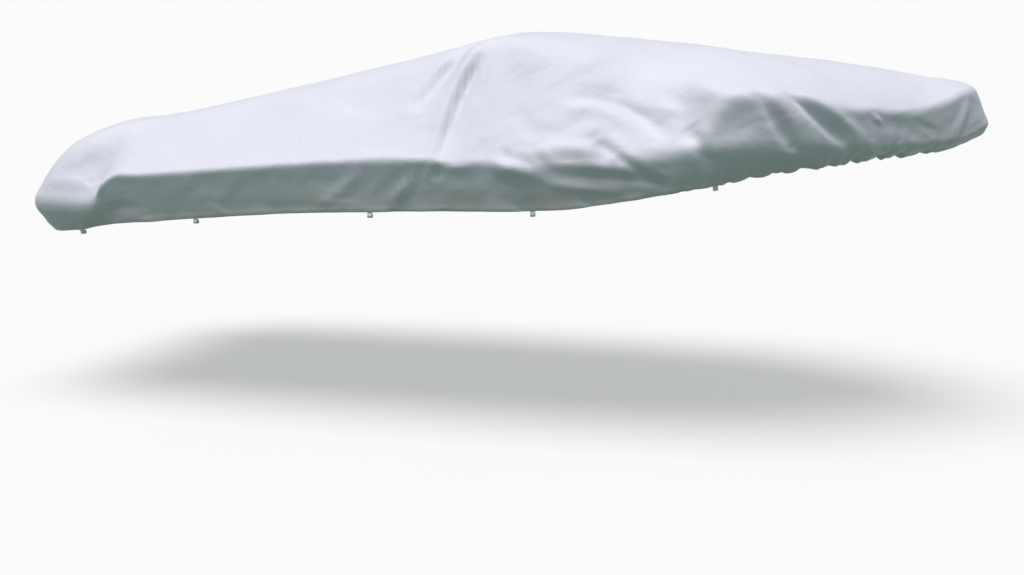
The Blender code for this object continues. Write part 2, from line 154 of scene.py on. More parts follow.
# fmt: off
SECTIONS = rows_of(
    Section,
    # hem, gunwale, shoulder, ridge, bends, spokes
    # the transom and its corner
    ((0.1, 0, 0), (0.006, 0, 0.16), (0.065, 0, 0.485), (0.36, 0.64), (0.08, 0.16), 12),
    ((0.1, 0.49, 0), (0.006, 0.52, 0.16), (0.07, 0.47, 0.49), (0.38, 0.645), (0.08, 0.16), 8),
    ((0.105, 0.76, 0), (-0.002, 0.8, 0.158), (0.1, 0.7, 0.478), (0.43, 0.652), (0.08, 0.17), 6),
    ((0.145, 0.885, 0.006), (0.024, 0.95, 0.156), (0.155, 0.79, 0.478), (0.49, 0.658), (0.08, 0.18), 6),
    ((0.31, 0.945, 0.013), (0.2, 1.025, 0.158), (0.28, 0.82, 0.518), (0.58, 0.668), (0.075, 0.17), 8),
    # the tuck and the step up of the quarter
    ((0.52, 0.97, 0.045), (0.503, 1.05, 0.19), (0.5, 0.72, 0.595), (0.68, 0.682), (0.055, 0.14), 4),
    ((0.59, 0.98, 0.055), (0.549, 1.058, 0.272), (0.58, 0.69, 0.611), (0.73, 0.691), (0.035, 0.12), 5),
    ((0.68, 0.99, 0.065), (0.636, 1.066, 0.332), (0.68, 0.64, 0.63), (0.8, 0.705), (0.03, 0.11), 5),
    ((0.83, 1, 0.078), (0.8, 1.073, 0.342), (0.82, 0.625, 0.655), (0.9, 0.728), (0.03, 0.11), 9),
    # the cockpit, up to the windscreen
    ((1.2, 1.02, 0.112), (1.2, 1.085, 0.373), (1.2, 0.58, 0.72), (1.2, 0.8), (0.03, 0.1), 18),
    ((1.9, 1.04, 0.157), (1.9, 1.09, 0.426), (1.9, 0.58, 0.86), (1.9, 0.95), (0.03, 0.1), 14),
    ((2.4, 1.04, 0.175), (2.4, 1.09, 0.443), (2.4, 0.58, 0.985), (2.4, 1.058), (0.03, 0.1), 14),
    ((2.74, 1.04, 0.183), (2.74, 1.09, 0.434), (2.74, 0.58, 1.07), (2.74, 1.13), (0.03, 0.08), 20),
    # the deck, down to the foot of the bow rail
    ((3.2, 1.03, 0.203), (3.2, 1.08, 0.45), (3.2, 0.62, 1.02), (3.2, 1.118), (0.1, 0.12), 18),
    ((3.6, 0.985, 0.262), (3.6, 1.04, 0.475), (3.565, 0.7, 0.855), (3.6, 1.077), (0.06, 0.12), 8),
    ((3.765, 0.972, 0.293), (3.785, 1.033, 0.491), (3.755, 0.775, 0.833), (3.78, 1.056), (0.055, 0.09), 9),
    # the foredeck under the bow rail
    ((3.924, 0.955, 0.324), (3.955, 1.025, 0.506), (3.946, 0.935, 0.793), (3.95, 1.032), (0.05, 0.06), 24),
    ((4.254, 0.825, 0.388), (4.301, 0.905, 0.515), (4.302, 0.868, 0.768), (4.3, 0.988), (0.05, 0.05), 26),
    ((4.599, 0.6, 0.438), (4.66, 0.69, 0.497), (4.652, 0.684, 0.706), (4.6, 0.942), (0.05, 0.04), 26),
    ((4.877, 0.385, 0.466), (4.961, 0.43, 0.512), (4.956, 0.432, 0.703), (4.84, 0.903), (0.04, 0.035), 22),
    # the bow
    ((5.16, 0.16, 0.515), (5.19, 0.222, 0.556), (5.166, 0.204, 0.789), (4.98, 0.874), (0.02, 0.03), 12),
    ((5.285, 0, 0.57), (5.315, 0, 0.624), (5.235, 0, 0.818), (5.08, 0.858), (0.02, 0.03), 0),
)

STARBOARD, PORT = Side.STARBOARD, Side.PORT


def folds(side: Side, *rows: tuple) -> tuple[Fold, ...]:
    """Folds on one side, from rows that hold the path's places, then the reach and the height."""
    return tuple(Fold(side, row[:-2], *row[-2:]) for row in rows)


MAIN_FOLDS = folds(
    STARBOARD,
    # drawn down from the windscreen's corner to the gunwale
    ((3.765, 1), (3.625, 0.5), (3.57, -0.08), 0.036, -0.028),
    ((3.72, 0.9), (3.57, 0.54), (3.5, 0.22), 0.045, 0.012),
    ((3.6, 0.98), (3.5, 0.66), (3.37, 0.38), 0.055, -0.035),
    ((3.8, 0.72), (3.9, 0.5), (3.92, 0.26), 0.1, -0.008),
    # slack between the windscreen and the bow rail
    ((4.22, 0.43), (4.38, 0.43), (4.52, 0.36), 0.048, -0.013),
    ((4.52, 0.33), (4.62, 0.25), (4.72, 0.13), 0.055, -0.015),
    ((4.68, 0.34), (4.78, 0.25), 0.05, 0.008),
    ((4.2, 0.33), (4.44, 0.28), (4.6, 0.1), 0.065, 0.007),
    ((4.38, 0.11), (4.46, 0), 0.068, -0.028),
    ((3.88, -0.01), (4.08, -0.06), 0.048, 0.028),
    ((4.14, 0.07), (4.44, 0.05), 0.06, 0.012),
    ((4.12, -0.02), (4.46, -0.04), 0.035, 0.01),
    ((4.12, -0.04), (4.48, -0.09), (4.74, -0.14), 0.035, -0.016),
    ((4.14, -0.11), (4.5, -0.17), 0.035, 0.012),
    ((4.5, 0), (4.73, -0.15), 0.035, -0.014),
    # drag lines down the side, forward of the beam
    ((3.44, -0.08), (3.31, -0.21), 0.04, 0.012),
    ((3.36, -0.08), (3.26, -0.17), 0.04, -0.008),
    ((3.12, -0.09), (2.9, -0.23), 0.045, 0.01),
    # from the aft end of the bow rail down over the gunwale
    ((5.1, 0.29), (4.98, 0.16), (4.86, 0.01), 0.085, 0.016),
    ((4.86, 0.11), (4.96, -0.07), 0.05, -0.022),
    ((5.19, 0.25), (5.33, 0.05), (5.39, -0.02), 0.045, -0.02),
    ((5.26, 0.25), (5.46, 0), 0.042, 0.012),
    ((5.37, 0.17), (5.5, 0.02), 0.042, 0.01),
    ((5.34, 0.28), (5.5, 0.16), (5.74, -0.04), 0.05, -0.028),
    ((5.57, 0.19), (5.86, -0.04), 0.045, 0.014),
    ((5.78, 0.15), (6.02, 0.11), (6.22, 0.02), 0.055, -0.007),
    ((6.49, 0.17), (6.36, 0.02), 0.04, 0.012),
    # stern quarter
    ((1.16, 0.36), (1.36, 0.26), 0.06, -0.003),
    ((0.98, 0.16), (1.2, 0.15), (1.42, 0.14), 0.075, 0.005),
    ((1.52, -0.13), (1.62, -0.17), (1.8, -0.2), 0.04, -0.01),
) + folds(
    PORT,
    # the other side, which is drawn less tight
    ((3.7, 0.78), (3.6, 0.46), (3.66, 0.02), 0.05, -0.018),
    ((3.58, 0.74), (3.4, 0.5), (3.22, 0.3), 0.06, -0.014),
    ((4.02, 0.5), (4.26, 0.36), (4.4, 0.12), 0.065, -0.018),
    ((4.3, 0.46), (4.52, 0.3), (4.74, 0.22), 0.07, 0.012),
    ((4, -0.02), (4.32, -0.09), (4.54, -0.16), 0.04, -0.014),
    ((2.62, -0.04), (2.44, -0.2), 0.045, 0.01),
    ((3.5, -0.04), (3.32, -0.16), 0.045, -0.01),
    ((4.88, 0.16), (4.96, -0.06), 0.055, -0.02),
    ((5.14, 0.28), (5.24, 0.08), (5.26, -0.04), 0.05, -0.024),
    ((5.4, 0.28), (5.52, 0.12), (5.68, -0.03), 0.05, -0.022),
    ((5.54, 0.26), (5.7, 0.06), 0.045, 0.013),
    ((5.82, 0.18), (6.06, 0.1), (6.22, -0.02), 0.05, -0.014),
    ((1.18, 0.3), (1.42, 0.24), 0.06, -0.01),
    # across the transom
    ((0.55, 0.26), (0.3, 0.06), (0.24, -0.1), 0.06, -0.012),
) + folds(
    STARBOARD,
    ((0.42, 0.22), (0.62, 0.02), (0.66, -0.12), 0.06, -0.012),
)

FINE_FOLDS = folds(
    STARBOARD,
    # slack that fans out from the windscreen's corner
    ((3.78, 0.72), (3.7, 0.52), (3.68, 0.3), 0.03, 0.004),
    ((3.5, 0.84), (3.38, 0.68), (3.28, 0.54), 0.035, -0.005),
    ((3.96, 0.3), (4.08, 0.18), (4.26, 0.24), 0.06, -0.005),
    # the hollow forward of the windscreen's trough, and the trough's foot below the gunwale
    ((3.74, 0.8), (3.645, 0.26), (3.62, -0.04), 0.07, -0.016),
    ((3.575, 0.24), (3.57, 0.08), (3.56, -0.09), 0.03, -0.01),
    # the slack's lower bend, and its shallow top
    ((4.2, 0.435), (4.36, 0.435), (4.5, 0.375), 0.042, 0.007),
    ((4.24, 0.37), (4.4, 0.37), (4.58, 0.27), 0.042, -0.009),
    # cloth that sags over the gunwale at the trough's foot
    ((3.6, -0.03), (3.74, -0.03), 0.03, 0.007),
    ((4.42, 0.09), (4.54, -0.01), 0.032, -0.01),
    # a light drag down the side amidships
    ((3.43, -0.12), (3.33, -0.22), 0.026, 0.007),
    ((3.5, -0.02), (3.4, -0.16), 0.03, -0.006),
    # short drags that end at the gunwale
    ((3.59, 0.03), (3.54, -0.08), 0.025, -0.005),
    ((3.9, 0.09), (3.94, 0), 0.03, -0.005),
    ((4.06, 0.06), (4.14, -0.02), 0.028, -0.006),
    ((2.46, -0.05), (2.28, -0.19), 0.035, 0.004),
    ((1.96, -0.06), (1.84, -0.18), 0.035, -0.003),
    # over the bow rail
    ((4.98, 0.01), (5.2, 0), 0.13, 0.013),
    ((5.36, 0.24), (5.5, 0.14), (5.68, 0), 0.03, -0.009),
    ((5.83, 0.165), (5.87, 0.13), 0.022, 0.01),
    ((6.1, 0.13), (6.28, 0.04), 0.03, -0.005),
)

GATHERS = rows_of(
    Stretch,
    (STARBOARD, 0.3, 1.12, 0.24, 0.005, 0.1),
    (STARBOARD, 3.9, 4.95, 0.19, 0.0025, 0.1),
    (STARBOARD, 5.03, 6.2, 0.145, 0.009, 0.15),
    (STARBOARD, 6.05, 6.6, 0.17, 0.004, 0.1),
    (PORT, 0.3, 1.12, 0.25, 0.005, 0.1),
    (PORT, 3.9, 4.95, 0.2, 0.0025, 0.1),
    (PORT, 5.04, 6.25, 0.14, 0.006, 0.14),
)

SHIRRINGS = rows_of(
    Stretch,
    (STARBOARD, 0.3, 1.2, 0.13, 0.003, 0.06),
    (STARBOARD, 1.3, 4.7, 0.34, 0.0015, 0.06),
    (STARBOARD, 4.78, 6.3, 0.092, 0.013, 0.22),
    (PORT, 0.3, 1.2, 0.14, 0.003, 0.06),
    (PORT, 1.3, 4.7, 0.36, 0.0015, 0.06),
    (PORT, 4.82, 6.3, 0.098, 0.012, 0.2),
)
# fmt: on


def rail_table(column: str) -> Array:
    """One column of the sections, with a row for each section."""
    return np.array([getattr(section, column) for section in SECTIONS], float)


def once_round(column: str) -> Array:
    """The half table down starboard and then back up port, where its second value is a breadth."""
    table = rail_table(column) * [1, STARBOARD.value, 1]
    return np.r_[table, table[-2:0:-1] * [1, -1, 1]]


def smooth_curve(knots: Array, table: Array, at: Array) -> Array:
    """A smooth curve through a table's rows.

    A cubic joins each row to the next. Its slope at a row is the average of the two chords there, each
    weighted by the other's length.

    Args:
        knots: The distance of each row, which reaches two rows past both ends of at.
        table: The rows.
        at: The distances at which points are wanted.

    Returns:
        One point of the curve for each distance.
    """
    span = np.diff(knots)[:, None]
    chord = np.diff(table, axis=0) / span
    slope = np.zeros_like(table)
    slope[1:-1] = (chord[:-1] * span[1:] + chord[1:] * span[:-1]) / (span[1:] + span[:-1])
    row = np.searchsorted(knots, at, side="right") - 1
    width = span[row]
    share = (at - knots[row])[:, None] / width
    return (
        table[row] * (1 + 2 * share) * (1 - share) ** 2
        + slope[row] * width * share * (1 - share) ** 2
        + table[row + 1] * (3 - 2 * share) * share**2
        + slope[row + 1] * width * (share - 1) * share**2
    )


def closed_curve(knots: Array, length: float, table: Array, at: Array) -> Array:
    """The smooth curve through a table that runs once round the cover."""
    knots = np.r_[knots[-2:] - length, knots, knots[:2] + length]
    return smooth_curve(knots, np.r_[table[-2:], table, table[:2]], at)


def open_curve(knots: Array, table: Array, at: Array) -> Array:
    """The smooth curve through a table with two ends, which runs straight on past each end."""
    knots = np.r_[2 * knots[0] - knots[2:0:-1], knots, 2 * knots[-1] - knots[-2:-4:-1]]
    table = np.r_[2 * table[0] - table[2:0:-1], table, 2 * table[-1] - table[-2:-4:-1]]
    return smooth_curve(knots, table, at)


def straight(start: Array, end: Array, count: int) -> Array:
    """Rows from start towards end, without the end itself."""
    share = (np.arange(count) / count)[:, None, None]
    return start + (end - start) * share


def rounded(start: Array, corner: Array, end: Array, count: int) -> Array:
    """Rows on the parabola that leaves start towards the corner and comes to end from it, without end."""
    share = (np.arange(count) / count)[:, None, None]
    return start * (1 - share) ** 2 + corner * 2 * share * (1 - share) + end * share**2


def towards(start: Array, end: Array, distance: Array | float) -> Array:
    """The point that lies the distance from start, on the way to end."""
    way = end - start
    return start + way * (distance / norm(way, axis=-1, keepdims=True))


def unit(vectors: Array) -> Array:
    """The vectors made one long."""
    return vectors / norm(vectors, axis=-1, keepdims=True)


def run_along(line: Array) -> Array:
    """How far along a line each of its points lies."""
    return np.r_[0.0, norm(np.diff(line, axis=0), axis=1).cumsum()]


def facings(points: Array, triangles: Array) -> Array:
    """Each triangle's normal, as long as twice its area."""
    corners = points[triangles]
    return np.cross(corners[:, 1] - corners[:, 0], corners[:, 2] - corners[:, 0])


def listed(corners: Array | list) -> Array:
    """Triangles held as (batch, corner, number), with a row for each instead."""
    return np.array(corners).transpose(0, 2, 1).reshape(-1, 3)


def linear(hex_colour: str) -> tuple[float, float, float, float]:
    """An sRGB colour such as #c8ccd4, as the linear values that a shader takes."""
    channels = np.array([int(hex_colour[at : at + 2], 16) for at in (1, 3, 5)]) / 255
    values = np.where(channels <= 0.04045, channels / 12.92, ((channels + 0.055) / 1.055) ** 2.4)
    return (*values.tolist(), 1.0)


def set_inputs(tree: Tree, node: bpy.types.Node, inputs: dict) -> None:
    """Sets or links the inputs of a node.

    Args:
        tree: The tree that holds the node.
        node: The node.
        inputs: A value, or another node's output socket, for each input by its name or number.
    """
    for key, value in inputs.items():
        if isinstance(value, Socket):
            tree.links.new(value, node.inputs[key])
        else:
            node.inputs[key].default_value = value


def add_node(tree: Tree, kind: str, inputs: dict | None = None, **settings: object) -> bpy.types.Node:
    """Adds a node to a tree.

    Args:
        tree: The tree that takes the node.
        kind: The node's type, such as ShaderNodeTexNoise.
        inputs: What set_inputs takes.
        **settings: The node's own properties.

    Returns:
        The new node.
    """
    node = tree.nodes.new(kind)
    for name, value in settings.items():
        setattr(node, name, value)
    set_inputs(tree, node, inputs or {})
    return node


def calculated(tree: Tree, operation: str, *values: Socket | float) -> Socket:
    """The result of one operation on sockets and plain numbers."""
    return add_node(tree, "ShaderNodeMath", dict(enumerate(values)), operation=operation).outputs[0]


def ranged(tree: Tree, value: Socket, start: tuple, end: tuple, curve: str = "LINEAR") -> Socket:
    """A value of the range start, carried to the range end and held within it."""
    inputs = dict(enumerate((value, *start, *end)))
    return add_node(tree, "ShaderNodeMapRange", inputs, interpolation_type=curve).outputs["Result"]


def noise(tree: Tree, place: Socket, grain: Grain) -> Socket:
    """Soft noise from zero to one."""
    inputs = {name.capitalize(): value for name, value in grain._asdict().items()}
    return add_node(tree, "ShaderNodeTexNoise", {"Vector": place, **inputs}).outputs["Fac"]


def mixed(tree: Tree, share: Socket, first: Socket | str, second: Socket | str) -> Socket:
    """The colour between two others, each of them a socket or an sRGB hex colour."""
    first, second = (linear(value) if isinstance(value, str) else value for value in (first, second))
    inputs = {"Factor": share, MIX_FIRST: first, MIX_SECOND: second}
    return add_node(tree, "ShaderNodeMix", inputs, data_type="RGBA").outputs[MIX_RESULT]


def weave_height(tree: Tree, uv: Socket, spacing: float) -> Socket:
    """The height of a plain weave: ribs along one axis of the UV times ribs along the other."""
    inputs = {"Vector": uv, "Scale": 2 * np.pi / (spacing * WAVE_RADIANS)}
    ribs = (
        add_node(tree, "ShaderNodeTexWave", inputs, wave_type="BANDS", bands_direction=axis).outputs["Fac"]
        for axis in "XY"
    )
    return calculated(tree, "MULTIPLY", *ribs)


def raised(tree: Tree, relief: Relief, invert: bool = False, **inputs: Socket) -> Socket:
    """The shading normal over a relief, from its Height and the Normal that it stands on, if any."""
    values = {"Strength": relief.strength, "Distance": relief.height, **inputs}
    return add_node(tree, "ShaderNodeBump", values, invert=invert).outputs["Normal"]


def new_material(name: str) -> tuple[Material, Tree, bpy.types.Node]:
    """An empty node material with its Principled shader."""
    made = bpy.data.materials.new(name)
    made.use_nodes = True
    tree = made.node_tree
    return made, tree, tree.nodes["Principled BSDF"]


def new_piece(name: str, points: Array, faces: Array, finish: Material, uv: Array | None = None) -> Piece:
    """A mesh object at the origin, smooth and dressed.

    Args:
        name: The piece's name.
        points: Its points, three values each.
        faces: Point numbers of its faces, all with the same number of corners.
        finish: Its material.
        uv: Two values for each corner of each face, or None.

    Returns:
        The object, linked to the scene.
    """
    mesh = bpy.data.meshes.new(name)
    mesh.from_pydata(points.tolist(), [], faces.tolist())
    mesh.shade_smooth()
    if uv is not None:
        mesh.uv_layers.new(name="cloth_metres").data.foreach_set("uv", uv.astype(np.float32).ravel())
    mesh.materials.append(finish)
    piece = bpy.data.objects.new(name, mesh)
    bpy.context.scene.collection.objects.link(piece)
    return piece


@dataclass(frozen=True)
class CoatedPolyester:
    """Plain-woven marine polyester, dyed, with a thin coating.

    The coating gives a soft broad sheen, and the weave breaks it up. Outdoor use leaves faint lighter and
    darker clouds, and road dust near the hem. The real yarns are 0.5 mm apart, which is too fine to show,
    so they are drawn at 2.5 mm.
    """

    colour: str = "#d0d0d8"
    clouded: str = "#c6c8ce"
    clouds: Grain = Grain(1.7, 3.0, 0.55)
    soiled: str = "#b3ada2"
    soil_reach: float = 0.17  # up from the hem's edge
    soil_at_hem: float = 0.6
    streaks: Grain = Grain(6.0, 4.0, 0.6)
    streak_band: tuple = (0.35, 0.65)  # of the noise
    between_streaks: float = 0.35  # share of the soil there
    thread: str = "#b6b9bf"
    thread_width: float = 0.0012  # each way from its row
    stitch_row: float = 0.026  # above the hem's edge
    stitch_pitch: float = 0.009
    stitch_share: float = 0.68  # of the pitch
    stitch_relief: Relief = Relief(0.6, 0.0008)
    yarn_spacing: float = 0.0025
    yarn_relief: Relief = Relief(0.12, 0.0006)
    creases: Grain = Grain(9.0, 5.0, 0.6, 0.6)
    crease_relief: Relief = Relief(0.35, 0.010)
    roughness: float = 0.58
    sheen: float = 0.15
    ior: float = 1.5

    def make(self) -> Material:
        """The finished material."""
        material, tree, shader = new_material("coated_polyester_cloth")
        uv = add_node(tree, "ShaderNodeUVMap", uv_map="cloth_metres").outputs["UV"]
        place = add_node(tree, "ShaderNodeTexCoord").outputs["Object"]
        clean = mixed(tree, noise(tree, place, self.clouds), self.colour, self.clouded)
        dusty = mixed(tree, self.soil(tree, uv, place), clean, self.soiled)
        stitch = self.stitches(tree, uv)
        inputs = {
            "Base Color": mixed(tree, stitch, dusty, self.thread),
            "Roughness": self.roughness,
            "IOR": self.ior,
            "Sheen Weight": self.sheen,
            "Normal": self.relief(tree, uv, place, stitch),
        }
        set_inputs(tree, shader, inputs)
        return material

    def soil(self, tree: Tree, uv: Socket, place: Socket) -> Socket:
        """How much road dust lies on the cloth: most at the hem, in streaks that fade up the side."""
        above = add_node(tree, "ShaderNodeSeparateXYZ", {"Vector": uv}).outputs["Y"]
        low = ranged(tree, above, (0.0, self.soil_reach), (self.soil_at_hem, 0.0), "SMOOTHSTEP")
        streaks = noise(tree, place, self.streaks)
        broken = ranged(tree, streaks, self.streak_band, (self.between_streaks, 1.0))
        return calculated(tree, "MULTIPLY", low, broken)

    def stitches(self, tree: Tree, uv: Socket) -> Socket:
        """One on the thread of the hem's row of stitches, and zero off it."""
        parts = add_node(tree, "ShaderNodeSeparateXYZ", {"Vector": uv})
        on_row = calculated(tree, "COMPARE", parts.outputs["Y"], self.stitch_row, self.thread_width)
        step = calculated(tree, "WRAP", parts.outputs["X"], self.stitch_pitch, 0.0)
        on_stitch = calculated(tree, "LESS_THAN", step, self.stitch_pitch * self.stitch_share)
        return calculated(tree, "MULTIPLY", on_row, on_stitch)

    def relief(self, tree: Tree, uv: Socket, place: Socket, stitch: Socket) -> Socket:
        """The shading normal: small creases, then the weave, then the sunk stitches."""
        weave = weave_height(tree, uv, self.yarn_spacing)
        creased = raised(tree, self.crease_relief, Height=noise(tree, place, self.creases))
        woven = raised(tree, self.yarn_relief, Height=weave, Normal=creased)
        return raised(tree, self.stitch_relief, invert=True, Height=stitch, Normal=woven)


@dataclass(frozen=True)
class PolyesterWebbing:
    """Flat woven polyester webbing, undyed: matt, with ribs across its run."""

    colour: str = "#fbfaf6"
    shaded: str = "#eceae5"
    rib_spacing: float = 0.0018
    rib_relief: Relief = Relief(0.5, 0.0005)
    roughness: float = 0.8
    ior: float = 1.5

    def make(self) -> Material:
        """The finished material."""
        material, tree, shader = new_material("woven_polyester_webbing")
        uv = add_node(tree, "ShaderNodeUVMap", uv_map="cloth_metres").outputs["UV"]
        weave = weave_height(tree, uv, self.rib_spacing)
        inputs = {
            "Base Color": mixed(tree, weave, self.shaded, self.colour),
            "Normal": raised(tree, self.rib_relief, Height=weave),
            "Roughness": self.roughness,
            "IOR": self.ior,
        }
        set_inputs(tree, shader, inputs)
        return material


@dataclass(frozen=True)
class PaleFloor:
    """Matt pale studio floor paint, rolled on: almost even, with no gloss."""

    colour: str = "#a3a3a1"
    worn: str = "#a0a09e"
    patches: Grain = Grain(0.8, 2.0)
    glow_colour: str = "#fffffb"
    glow: float = 0.440  # for the bounce that a white room gives its floor
    roughness: float = 0.9

    def make(self) -> Material:
        """The finished material."""
        material, tree, shader = new_material("matt_floor_paint")
        place = add_node(tree, "ShaderNodeTexCoord").outputs["Object"]
        inputs = {
            "Base Color": mixed(tree, noise(tree, place, self.patches), self.colour, self.worn),
            "Roughness": self.roughness,
            "Emission Color": linear(self.glow_colour),
            "Emission Strength": self.glow,
        }
        set_inputs(tree, shader, inputs)
        return material


@dataclass(frozen=True)
class Drape:
    """How the folds, the slack, and the hem's puckers and creases are drawn on the sheet."""

    fold_ends: float = 0.35  # height at a fold's ends, over that midway
    fold_fullness: float = 0.7  # the less, the longer a fold keeps its height
    fold_margin: float = 3.2  # reaches away, where a fold has died out
    slack_waves: int = 14
    slack_lengths: tuple = (0.6, 0.12)  # of the longest wave and the shortest
    slack_rise: float = 0.003  # a wave's height over its length
    slack_ways: tuple = (1.0, 0.7, 1.2)  # how readily waves run along, across and up
    slack_bend: float = 0.6  # share of its bend that each wave hands on
    slack_taut: float = 0.75  # share of the waves above the gunwale
    slack_loose: float = 0.9  # more than that, on the side below
    slack_drop: float = 0.1  # below the gunwale, where all of it is added
    pucker_fullness: float = 0.5
    pucker_wander: float = 0.6  # radians
    pucker_rhythm: float = 2.1  # radians of the wandering to each pucker
    pucker_fade: float = 1.5  # the more, the lower they stay
    crease_places: tuple = (0.1, 0.9)  # within the pitch
    crease_lean: float = 0.35  # spread of the way along over the way up
    crease_widths: tuple = (0.018, 0.032)
    crease_lengths: tuple = (0.5, 1.15)  # over the stretch's reach
    crease_depths: tuple = (0.4, 1.1)  # over the stretch's height


@dataclass
class CoverSheet:
    """The cover's one sheet of cloth, from its elastic hem to the ridge.

    It is a grid: rows from hem to ridge, and spokes once round the cover. Spokes run from the middle of
    the transom along starboard to the bow and back along port. Two spokes that mirror each other end on
    the same point of the ridge.
    """

    cloth_thickness: float = 0.002
    hem_width: float = 0.030
    hem_bulge: float = 0.0022  # how far the hem's elastic stands proud
    crown_reach: float = 0.45  # share of the way to the shoulder that levels out
    hem_steps: int = 6
    side_steps: int = 14
    gunwale_steps: int = 8
    slope_steps: int = 30
    shoulder_steps: int = 12
    crown_steps: int = 16
    path_samples: int = 60
    seed: int = 7
    drape: Drape = Drape()

    def __post_init__(self) -> None:
        """Works out the grid of the outer face and of the inner face."""
        self.along = self.spoke_places()
        self.base = self.section_rows()
        steps = norm(np.diff(self.base, axis=0), axis=2)
        self.above_hem = np.r_[np.zeros((1, self.spokes)), np.cumsum(steps, axis=0)]
        gunwale_row = self.hem_steps + self.side_steps + self.gunwale_steps // 2
        self.up = self.above_hem - self.above_hem[gunwale_row]
        self.triangles = self.make_triangles()
        lift = self.fold_heights() + self.slack_heights() + self.hem_heights() + self.crease_heights()
        self.outer = self.base + self.normals(self.base) * lift[..., None]
        self.inner = self.outer - self.normals(self.outer) * self.thicknesses()[..., None]

    def spoke_places(self) -> Array:
        """Each spoke's distance along the gunwale, once round from the middle of the transom."""
        gunwale = once_round("gunwale")
        steps = norm(np.diff(gunwale, axis=0, append=gunwale[:1]), axis=1)
        self.knots = np.r_[0.0, np.cumsum(steps)[:-1]]
        self.length = steps.sum()
        half = [
            np.linspace(self.knots[row], self.knots[row + 1], section.spokes, endpoint=False)
            for row, section in enumerate(SECTIONS[:-1])
        ]
        half = np.r_[*half, self.length / 2]
        self.bow_spoke = len(half) - 1
        self.spokes = 2 * self.bow_spoke
        return np.r_[half, self.length - half[-2:0:-1]]

    def section_rows(self) -> Array:
        """The unfolded sheet: each section's straight runs with its bends rounded."""
        hem, gunwale, shoulder = (
            closed_curve(self.knots, self.length, once_round(column), self.along)
            for column in ("hem", "gunwale", "shoulder")
        )
        at = np.minimum(self.along, self.length - self.along)
        half_knots = self.knots[: len(SECTIONS)]
        crest = open_curve(half_knots, rail_table("ridge"), at)
        bends = open_curve(half_knots, rail_table("bends"), at)
        ridge = np.stack([crest[:, 0], np.zeros(self.spokes), crest[:, 1]], axis=1)
        level = ridge + (shoulder - ridge) * [self.crown_reach, self.crown_reach, 0.0]
        hem_top = towards(hem, gunwale, self.hem_width)
        side_top = towards(gunwale, hem, bends[:, :1])
        slope_foot = towards(gunwale, shoulder, bends[:, :1])
        slope_top = towards(shoulder, gunwale, bends[:, 1:])
        crown_foot = towards(shoulder, level, bends[:, 1:])
        grid = np.concatenate(
            [
                straight(hem, hem_top, self.hem_steps),
                straight(hem_top, side_top, self.side_steps),
                rounded(side_top, gunwale, slope_foot, self.gunwale_steps),
                straight(slope_foot, slope_top, self.slope_steps),
                rounded(slope_top, shoulder, crown_foot, self.shoulder_steps),
                rounded(crown_foot, level, ridge, self.crown_steps),
                ridge[None],
            ]
        )
        self.rows = len(grid)
        return grid

    def point_numbers(self) -> Array:
        """The number of each grid point, where mirrored spokes share their point on the ridge."""
        numbers = np.arange(self.rows * self.spokes).reshape(self.rows, self.spokes)
        spoke = np.arange(self.spokes)
        numbers[-1] = numbers[-1, np.minimum(spoke, self.spokes - spoke)]
        return numbers

    def make_triangles(self) -> Array:
        """Point numbers of the sheet's triangles.

        Each quad is cut along its shorter diagonal, but never along one that lies on the centreline.
        """
        numbers = self.point_numbers()
        points = self.base.reshape(-1, 3)
        following = np.roll(numbers, -1, axis=1)
        a, b, c, d = (part.ravel() for part in (numbers[:-1], following[:-1], following[1:], numbers[1:]))
        one, other = (
            np.where(
                np.abs(points[ends, 1]).sum(axis=0) > 0,
                norm(points[ends[0]] - points[ends[1]], axis=1),
                np.inf,
            )
            for ends in (np.stack([a, c]), np.stack([b, d]))
        )
        return listed(np.where(one <= other, [[a, b, c], [a, c, d]], [[a, b, d], [b, c, d]]))

    def normals(self, grid: Array) -> Array:
        """Outward unit normals of the grid's points, from the triangles that meet there."""
        points = grid.reshape(-1, 3)
        total = np.stack(
            [
                sum(np.bincount(corner, facing, len(points)) for corner in self.triangles.T)
                for facing in facings(points, self.triangles).T
            ],
            axis=1,
        )
        return unit(total[self.point_numbers()])

    def place(self, side: Side, along: float, up: float) -> Array:
        """Finds a place on the unfolded sheet, between two spokes and two rows.

        Args:
            side: The side of the cover.
            along: How far along the gunwale from the middle of the transom.
            up: How far up the cloth from the gunwale.

        Returns:
            The point.
        """
        column = np.interp(along, self.along[: self.bow_spoke + 1], np.arange(self.bow_spoke + 1))
        if side is PORT:
            column = (self.spokes - column) % self.spokes
        low = int(column)
        share = column - low
        high = (low + 1) % self.spokes
        heights = self.up[:, low] * (1 - share) + self.up[:, high] * share
        line = self.base[:, low] * (1 - share) + self.base[:, high] * share
        return np.array([np.interp(up, heights, line[:, axis]) for axis in range(3)])

    def fold_path(self, fold: Fold) -> Array:
        """Points along a fold: a straight line between two places, or a parabola through three."""
        places = [self.place(fold.side, *place) for place in fold.path]
        start, end = places[0], places[-1]
        middle = places[1] if len(places) == 3 else (start + end) / 2
        return rounded(start, 2 * middle - (start + end) / 2, end, self.path_samples)[:, 0]

